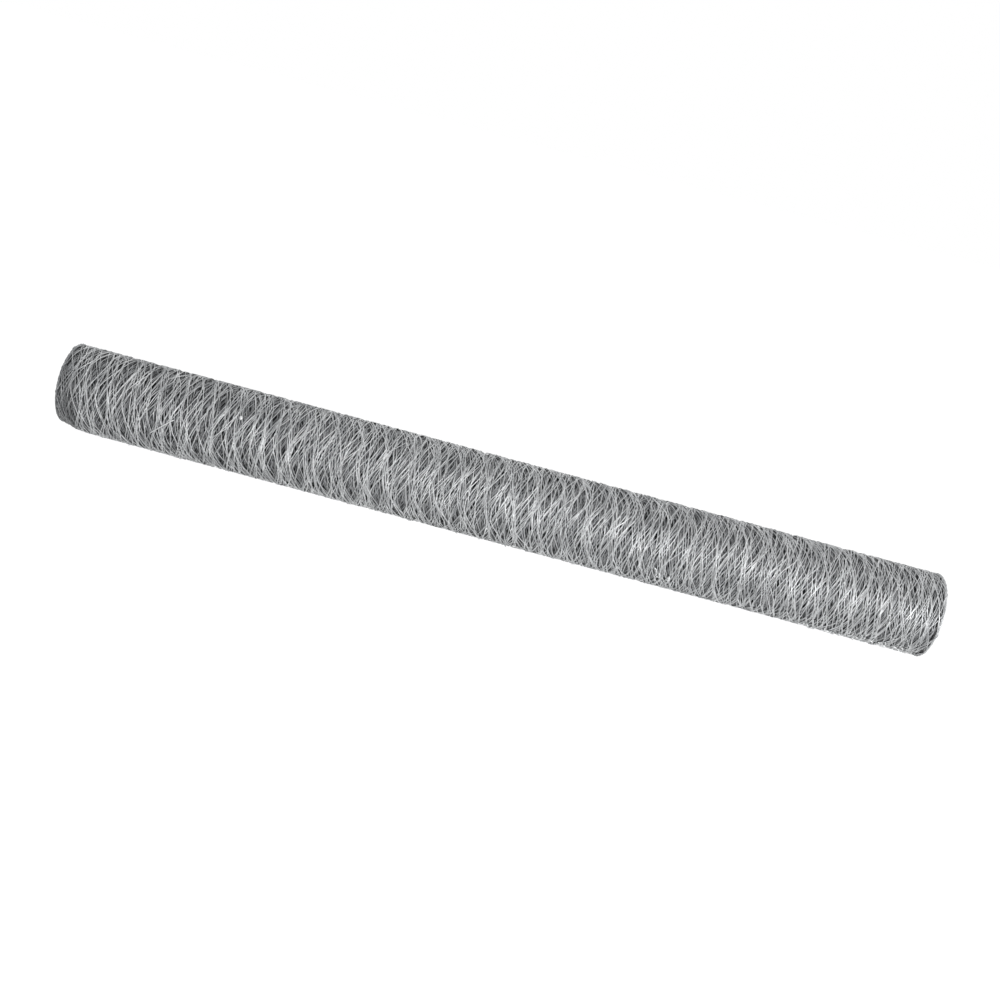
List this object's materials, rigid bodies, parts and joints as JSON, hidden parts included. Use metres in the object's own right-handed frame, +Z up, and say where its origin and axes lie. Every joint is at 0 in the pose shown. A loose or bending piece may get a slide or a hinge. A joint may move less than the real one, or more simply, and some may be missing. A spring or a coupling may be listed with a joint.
{
  "type": "roll of chicken wire",
  "caption": "Long slender roll of galvanised hexagonal wire netting, wound tightly on itself round an open bore, lying on its side.",
  "frame": {"origin": "centre of the bore at the middle of the roll", "axes": "+X along the roll, away from the end that is drawn in; +Z up; -Y is the front"},
  "size_m": [0.9, 0.0869, 0.0867],
  "materials": {
    "galvanised_wire": "bright galvanised zinc, lightly dulled"
  },
  "bodies": {
    "root": {"wire_roll": "galvanised_wire"}
  },
  "joints": []
}
